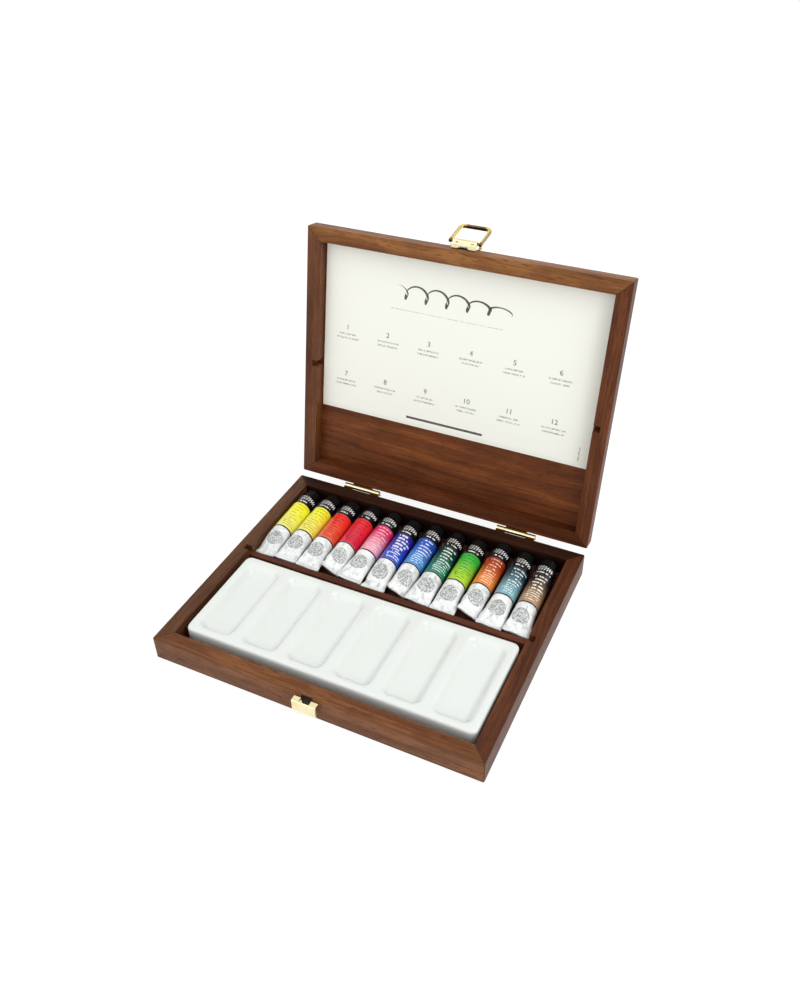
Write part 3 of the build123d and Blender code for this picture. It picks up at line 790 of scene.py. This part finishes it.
def stand_in(node, bm, material):
    """Makes a bmesh the finished piece that stands for a CAD node."""
    name = node + "_finished"
    return finish_piece(name, bm, NODE_BODY[node], [material], (node,))


def smooth_copy(node, material, even=True):
    """Stands for a CAD node with a merged copy of its facets, smooth over its curved faces."""
    bm = merged_faces(node)
    bmesh.ops.dissolve_degenerate(bm, edges=bm.edges, dist=1e-7)
    piece = stand_in(node, bm, material)
    if even:
        piece.modifiers.new("even_shading", "WEIGHTED_NORMAL").keep_sharp = True
    return piece


def sanded_copy(node, material, width):
    """Stands for a wooden node with a merged copy and slightly rounded edges.

    The panels' edges get the whole width. The rails' come out at about 0.07 mm.
    """
    bm = merged_faces(node)
    bmesh.ops.dissolve_limit(bm, angle_limit=radians(0.5), verts=bm.verts, edges=bm.edges)
    bevel = stand_in(node, bm, material).modifiers.new("sanded_edges", "BEVEL")
    bevel.width = width
    bevel.segments = 2
    bevel.limit_method = "ANGLE"
    bevel.angle_limit = radians(40)
    bevel.harden_normals = True


def flat_text(text, height):
    """A plain number as a flat mesh round the origin, in Blender's own font."""
    curve = bpy.data.curves.new("number", "FONT")
    curve.body = text
    curve.align_x = "CENTER"
    curve.align_y = "CENTER"
    curve.size = height
    curve.resolution_u = 4
    carrier = bpy.data.objects.new("number", curve)
    bpy.context.scene.collection.objects.link(carrier)
    bpy.context.view_layer.update()
    mesh = bpy.data.meshes.new_from_object(carrier)
    bpy.data.objects.remove(carrier)
    bpy.data.curves.remove(curve)
    return mesh


def add_mesh(bm, mesh, material_index, place):
    """Adds a mesh to a bmesh, moved into place."""
    before = set(bm.verts)
    old_faces = set(bm.faces)
    bm.from_mesh(mesh)
    bpy.data.meshes.remove(mesh)
    for face in bm.faces:
        if face not in old_faces:
            face.material_index = material_index
    added = [v for v in bm.verts if v not in before]
    bmesh.ops.transform(bm, matrix=place, verts=added)


def ring_section(distance, shape, sizes):
    """Half width, half thickness, squareness, offset, lift and tilt of a tube at a distance."""
    cap_end, crimp_end, left, right, tilt, lift = shape[:6]
    radius = sizes.radius / MM
    flare, crimp = sizes.flare / MM, sizes.crimp / MM
    loft_end = cap_end - crimp_end - crimp
    thick_end = CRIMP_THICK / 2
    half = (left + right) / 2 / cos(radians(tilt)) - thick_end * abs(sin(radians(tilt)))
    neck = NECK + [(SHOULDER_END, radius)]
    if distance <= SHOULDER_END:
        for (d0, r0), (d1, r1) in zip(neck, neck[1:]):
            if distance <= d1:
                wide = r0 + (r1 - r0) * (distance - d0) / (d1 - d0)
                return wide, wide, 2.0, 0.0, 0.0, 0.0
    share = max(0.0, min(1.0, (distance - flare) / (loft_end - flare)))
    ease = share * share * (3 - 2 * share)
    wide = radius + (half - radius) * ease
    flat = thick_end * 0.8
    thick = max(flat, radius + (flat - radius) * (0.35 * share + 0.65 * share * share))
    square = 2.0 + 1.0 * share ** 3
    if distance > loft_end + 0.01:
        thick, square = thick_end, 7.0
    return wide, thick, square, (right - left) / 2 * ease, lift * ease, tilt * ease


def next_ring(bm, ring):
    """Draws a ring of corners out to a new ring, in the same order round."""
    corners = set(ring)
    edges = [e for e in {e for v in ring for e in v.link_edges} if set(e.verts) <= corners]
    made = bmesh.ops.extrude_edge_only(bm, edges=edges)["geom"]
    order = {v: k for k, v in enumerate(ring)}
    drawn = [None] * len(ring)
    for v in made:
        if isinstance(v, bmesh.types.BMVert):
            source = next(e.other_vert(v) for e in v.link_edges if e.other_vert(v) in order)
            drawn[order[source]] = v
    return drawn


def paint_tube(number, shape, sizes, materials):
    """One soft foil tube: neck, shoulder, round body, flattened end and folded crimp."""
    axis_x = sizes.first_x + (number - 1) * sizes.pitch
    length = shape[0] - shape[1]
    loft_end = length - sizes.crimp / MM
    stations = [distance for distance, _ in NECK]
    stations += [SHOULDER_END, 11.1, 14, 20, 26, 32, 38, 44, 50]
    stations += [FLARE + (loft_end - FLARE) * i / 16 for i in range(17)]
    stations += [loft_end + past for past in (0.06, 0.3, 1.45, 1.6, 1.75)]
    stations += [length - 0.3, length]
    bm = bmesh.new()
    uv_layer = bm.loops.layers.uv.new("label")
    ring = bmesh.ops.create_circle(bm, cap_ends=True, radius=1, segments=sizes.segments)["verts"]
    angles = [atan2(v.co.x, v.co.y) for v in ring]
    rings = []
    for distance in stations:
        if rings:
            ring = next_ring(bm, ring)
        rings.append(ring)
        wide, thick, *rest = ring_section(distance, shape, sizes)
        if distance > length - 0.2:
            wide, thick = wide - 0.25, thick - 0.3
        elif loft_end + 1.5 < distance < loft_end + 1.7:
            thick -= 0.14
        place_ring(ring, angles, distance, shape[0], (wide, thick, *rest), sizes, number)
    bmesh.ops.contextual_create(bm, geom=ring)
    bmesh.ops.recalc_face_normals(bm, faces=bm.faces)
    wrap_label(bm, uv_layer, rings, stations, angles, shape, sizes)
    bmesh.ops.translate(bm, verts=bm.verts, vec=(axis_x, 0, sizes.height))
    add_label_number(bm, number, shape, axis_x, sizes)
    slot = f"tube_{number:02d}"
    finish_piece("paint_" + slot, bm, slot, materials, (slot,))


def place_ring(ring, angles, distance, cap_end, section, sizes, number):
    """Shapes one ring of a tube's skin, from round to flat, with dents that only go inwards."""
    wide, thick, square, shift, rise, tilt = section
    dents = sizes.dent / MM
    soft = max(0.0, min(1.0, (distance - 40) / 14)) * (1.0 if square < 5 else 0.0)
    fold = max(0.0, min(1.0, (distance - 60) / 14))
    t = radians(tilt)
    for v, angle in zip(ring, angles):
        s, c = sin(angle), cos(angle)
        x = wide * abs(s) ** (2 / square) * (1 if s > 0 else -1)
        z = thick * abs(c) ** (2 / square) * (1 if c > 0 else -1)
        seed = Vector((x * 0.16 + number * 9.1, distance * 0.13, z * 0.10))
        dent = max(0.0, noise.noise(seed) + 0.15) * dents * soft
        seed = Vector((x * 0.45 + number * 3.3, distance * 0.07, 4.0))
        crease = max(0.0, noise.noise(seed)) * 0.5 * soft
        shrink = 1 - (dent + crease * dents) / max(thick, 3.0)
        x, z = x * (1 - (1 - shrink) * 0.4), z * shrink
        z += 0.7 * noise.noise(Vector((x * 0.28, number * 5.7, 1.5))) * fold
        nip = (0.5 + 0.5 * noise.noise(Vector((x * 0.33, number * 2.9, 7.0)))) * 1.3 * fold
        v.co = Vector((
            shift + x * cos(t) + z * sin(t),
            cap_end - distance + nip,
            rise - x * sin(t) + z * cos(t),
        )) * MM


def wrap_label(bm, uv_layer, rings, stations, angles, shape, sizes):
    """Wraps the label's map round the tube, with 100 mm of skin to its whole width and height."""
    radius = sizes.radius / MM
    turned = radians(shape[6])
    spot = {}
    for row, distance in zip(rings, stations):
        for v, angle in zip(row, angles):
            spot[v] = (angle - turned, LABEL_START - distance)
    for face in bm.faces:
        middle = sorted(spot[v][0] for v in face.verts if v in spot)
        centre = middle[len(middle) // 2]
        for loop in face.loops:
            angle, along = spot[loop.vert]
            while angle - centre > pi:
                angle -= 2 * pi
            while centre - angle > pi:
                angle += 2 * pi
            loop[uv_layer].uv = (angle * radius / LABEL_UNIT + 0.5, along / LABEL_UNIT)


def add_label_number(bm, number, shape, axis_x, sizes):
    """A plain number bent round the foot of the label, a hair above it."""
    flat = bmesh.new()
    flat.from_mesh(flat_text(str(number), 4.2 * MM))
    for cut in range(-6, 7):
        bmesh.ops.bisect_plane(
            flat, geom=flat.verts[:] + flat.edges[:] + flat.faces[:], dist=1e-7,
            plane_co=(cut * 0.5 * MM, 0, 0), plane_no=(1, 0, 0))
    turned = radians(shape[6])
    reach = sizes.radius + 0.03 * MM
    middle = (shape[0] - LABEL_START + NUMBER_HEIGHT) * MM
    for v in flat.verts:
        angle = (v.co.x - 3.0 * MM) / sizes.radius + turned
        x, z = axis_x + reach * sin(angle), sizes.height + reach * cos(angle)
        v.co = Vector((x, middle + v.co.y, z))
    mesh = bpy.data.meshes.new("number")
    flat.to_mesh(mesh)
    flat.free()
    add_mesh(bm, mesh, 1, Matrix.Identity(4))


def card_print(sizes):
    """Twelve plain numbers in two rows, each over two lines of print, and plain rules."""
    bm = bmesh.new()
    face = (CARD_FACE - INK_LIFT) * MM
    for row, (number_y, line_ys) in enumerate(CARD_ROWS):
        for column, x in enumerate(CARD_COLUMNS):
            text = flat_text(str(row * 6 + column + 1), sizes.number_height)
            add_mesh(bm, text, 0, on_card(x, number_y, face))
            for k, y in enumerate(line_ys):
                long = LINE_LENGTHS[(column + 2 * row + k) % 6]
                add_line(bm, x, y, long, sizes.line_width / MM, face, 1)
    for x, y, long, wide, ink in CARD_RULES:
        add_line(bm, x, y, long, wide, face, ink)
    add_brush_line(bm, face)
    bmesh.ops.transform(bm, matrix=TO_OPEN, verts=bm.verts)
    ink = printing_ink("black_ink", linear(26, 26, 28), sizes.paper, False)
    grey = printing_ink("grey_print", linear(140, 140, 138), sizes.paper, True)
    finish_piece("card_print", bm, "lid", [ink, grey])


def on_card(x, y, face):
    """The place of something printed on the card, upright when the lid is open."""
    turn = Matrix(((1, 0, 0, 0), (0, -1, 0, 0), (0, 0, -1, 0), (0, 0, 0, 1)))
    return Matrix.Translation((x * MM, y * MM, face)) @ turn


def add_line(bm, x, y, length, width, face, material_index):
    """One straight printed line."""
    made = bmesh.ops.create_grid(bm, x_segments=1, y_segments=1, size=0.5)["verts"]
    bmesh.ops.scale(bm, vec=(length * MM, width * MM, 1), verts=made)
    bmesh.ops.transform(bm, matrix=on_card(x, y, face), verts=made)
    for v in made:
        for f in v.link_faces:
            f.material_index = material_index


def add_brush_line(bm, face):
    """A plain looping brush line that thickens and thins, at the card's head."""
    made = bmesh.ops.create_grid(bm, x_segments=150, y_segments=1, size=0.5)["verts"]
    for v in made:
        share = v.co.x + 0.5
        swell = 0.9 + 1.7 * abs(sin(share * pi * BRUSH_LOOPS)) ** 2
        taper = min(1.0, share * 12, (1 - share) * 8)
        x = -52 + 92 * share + 4.5 * sin(share * 2 * pi * BRUSH_LOOPS)
        y = (7.0 - 3.6 * share) * cos(share * 2 * pi * BRUSH_LOOPS)
        y = y * (0.6 + 0.4 * sin(share * pi)) - 1.5 * (share - 0.5)
        v.co = Vector((x + v.co.y * swell * taper * 0.5, y + v.co.y * swell * taper * 1.4, 0)) * MM
    bmesh.ops.transform(bm, matrix=on_card(0, -64, face), verts=made)


class PAINTBOX_OT_wood(bpy.types.Operator):
    """Finish the box's rails, panels and divider in varnished walnut"""

    bl_idname = "paintbox.wood"
    bl_label = "Walnut Pieces"

    def execute(self, context):
        finishes = context.scene.paintbox_finishes
        make_walnut_group()
        for name, (middle, turn, seed) in WOOD_PIECES.items():
            wood = walnut(name, linear(*middle), turn, seed, name.startswith("lid"), finishes)
            sanded_copy(name, wood, finishes.rounding)
        return {"FINISHED"}


class PAINTBOX_OT_fittings(bpy.types.Operator):
    """Finish the hinges, screws and catch in bright brass"""

    bl_idname = "paintbox.fittings"
    bl_label = "Brass Fittings"

    def execute(self, context):
        finishes = context.scene.paintbox_finishes
        for node in HINGE_NODES + CATCH_NODES:
            smooth_copy(node, brass_metal(node, finishes))
        return {"FINISHED"}


class PAINTBOX_OT_palette(bpy.types.Operator):
    """Finish the palette in white glazed porcelain"""

    bl_idname = "paintbox.palette"
    bl_label = "Porcelain Palette"

    def execute(self, context):
        finishes = context.scene.paintbox_finishes
        palette = smooth_copy("palette", porcelain(finishes), False)
        fired = palette.modifiers.new("fired_edges", "REMESH")
        fired.mode = "VOXEL"
        fired.voxel_size = 0.75 * MM
        fired.use_smooth_shade = True
        eased = palette.modifiers.new("eased_edges", "SMOOTH")
        eased.factor = 0.5
        eased.iterations = 20
        return {"FINISHED"}


class PAINTBOX_OT_tubes(bpy.types.Operator):
    """Model the twelve printed foil tubes and finish their caps"""

    bl_idname = "paintbox.tubes"
    bl_label = "Paint Tubes"

    def execute(self, context):
        sizes = context.scene.paintbox_tubes
        plastic = cap_plastic(context.scene.paintbox_finishes)
        make_rows_group()
        for number, (shape, look) in enumerate(zip(TUBE_SHAPES, LABELS), start=1):
            skin = tube_label(number, look)
            ink, foil = linear(*look[2]), linear(*look[1])
            ink = printing_ink(f"tube_{number:02d}_number", ink, foil, False)
            paint_tube(number, shape, sizes, [skin, ink])
            smooth_copy(f"cap_{number:02d}", plastic)
        return {"FINISHED"}


class PAINTBOX_OT_card(bpy.types.Operator):
    """Finish the card in the lid and print its plain numbers"""

    bl_idname = "paintbox.card"
    bl_label = "Printed Card"

    def execute(self, context):
        sizes = context.scene.paintbox_card
        dress("lid_card", card_paper(sizes))
        card_print(sizes)
        return {"FINISHED"}


def area_lamp(name, power, size, place, target, colour=(1, 1, 1)):
    """A square soft lamp that looks at a point."""
    lamp = bpy.data.lights.new(name, "AREA")
    lamp.energy = power
    lamp.size = size
    lamp.color = colour
    holder = bpy.data.objects.new(name, lamp)
    holder.location = place
    holder.rotation_euler = (Vector(target) - Vector(place)).to_track_quat("-Z", "Y").to_euler()
    bpy.context.scene.collection.objects.link(holder)


class PAINTBOX_OT_stage(bpy.types.Operator):
    """Set up the floor, the soft studio light and the camera"""

    bl_idname = "paintbox.stage"
    bl_label = "Studio"

    def execute(self, context):
        scene, stage = context.scene, context.scene.paintbox_stage
        bm = bmesh.new()
        bmesh.ops.create_grid(bm, x_segments=1, y_segments=1, size=6)
        bmesh.ops.translate(bm, verts=bm.verts, vec=(0, 0, -0.2 * MM))
        mesh = bpy.data.meshes.new("studio_floor")
        bm.to_mesh(mesh)
        bm.free()
        floor = bpy.data.objects.new("studio_floor", mesh)
        scene.collection.objects.link(floor)
        mesh.materials.append(floor_paint())
        area_lamp("key_lamp", stage.key, 1.1, (1.15, -0.15, 1.45), (0, 0.03, 0.05))
        area_lamp("fill_lamp", stage.fill, 1.3, (-0.7, -1.35, 1.0), (0, 0.03, 0.05))
        white_room(scene, stage.room)
        camera = bpy.data.cameras.new("photo_camera")
        camera.lens = stage.lens
        camera.shift_x, camera.shift_y = stage.camera_shift
        camera.clip_start = 0.01
        viewer = bpy.data.objects.new("photo_camera", camera)
        viewer.location = stage.camera_place
        viewer.rotation_euler = stage.camera_turn
        scene.collection.objects.link(viewer)
        scene.camera = viewer
        scene.view_settings.view_transform = "Standard"
        return {"FINISHED"}


def seen_rays(tree):
    """1 for what the camera sees, by itself and in mirrors, and 0 for the light that falls."""
    path = tree.nodes.new("ShaderNodeLightPath").outputs
    painted_reflection = most(path["Is Glossy Ray"], path["Is Transmission Ray"])
    return most(path["Is Camera Ray"], painted_reflection)


def floor_paint():
    """Paper floor that looks white to the camera and in mirrors, and keeps the box's shadow."""
    material = bpy.data.materials.new("white_paper_floor")
    tree = fresh_tree(material)
    tooth = cloud(tree.nodes.new("ShaderNodeTexCoord").outputs["Object"], scale=40, detail=2)
    paper = mixed(times(tooth, 0.2), linear(250, 250, 250), linear(246, 246, 246))
    seen = seen_rays(tree)
    shown = mixed(seen, paper, linear(150, 150, 150))
    matte = put(tree, "ShaderNodeBsdfDiffuse", {"Color": shown}).outputs[0]
    level = times(seen, 0.80)
    glow = put(tree, "ShaderNodeEmission", {"Color": (1, 1, 1, 1), "Strength": level}).outputs[0]
    both = put(tree, "ShaderNodeAddShader", {0: matte, 1: glow}).outputs[0]
    put(tree, "ShaderNodeOutputMaterial", {"Surface": both})
    return material


def white_room(scene, strength):
    """Even light from all round, seen as plain white."""
    scene.world = scene.world or bpy.data.worlds.new("studio")
    tree = fresh_tree(scene.world)
    level = ramp(seen_rays(tree), 1.0 - strength, strength)
    light = put(tree, "ShaderNodeBackground", {"Color": (1, 1, 1, 1), "Strength": level})
    put(tree, "ShaderNodeOutputWorld", {"Surface": light.outputs[0]})


class PAINTBOX_PT_panel(bpy.types.Panel):
    """Lists the steps that build the paint box"""

    bl_idname = "PAINTBOX_PT_panel"
    bl_label = "Watercolor Box"
    bl_space_type = "VIEW_3D"
    bl_region_type = "UI"
    bl_category = "Paint Box"

    def draw(self, context):
        for operator in OPERATORS:
            self.layout.operator(operator.bl_idname)
        for name in SETTINGS:
            group = getattr(context.scene, name)
            box = self.layout.box()
            for key in group.__annotations__:
                box.prop(group, key)


OPERATORS = (
    PAINTBOX_OT_wood, PAINTBOX_OT_fittings, PAINTBOX_OT_palette, PAINTBOX_OT_tubes,
    PAINTBOX_OT_card, PAINTBOX_OT_stage,
)
SETTINGS = {
    "paintbox_finishes": PaintBoxFinishes,
    "paintbox_tubes": PaintBoxTubes,
    "paintbox_card": PaintBoxCard,
    "paintbox_stage": PaintBoxStage,
}
CLASSES = (*SETTINGS.values(), *OPERATORS, PAINTBOX_PT_panel)


def register():
    for item in CLASSES:
        bpy.utils.register_class(item)
    for name, group in SETTINGS.items():
        setattr(bpy.types.Scene, name, bpy.props.PointerProperty(type=group))


def unregister():
    for name in SETTINGS:
        delattr(bpy.types.Scene, name)
    for item in reversed(CLASSES):
        bpy.utils.unregister_class(item)


def main():
    register()
    make_scuff_group()
    bpy.ops.paintbox.stage()
    bpy.ops.paintbox.wood()
    bpy.ops.paintbox.fittings()
    bpy.ops.paintbox.palette()
    bpy.ops.paintbox.tubes()
    bpy.ops.paintbox.card()


if __name__ == "__main__":
    main()
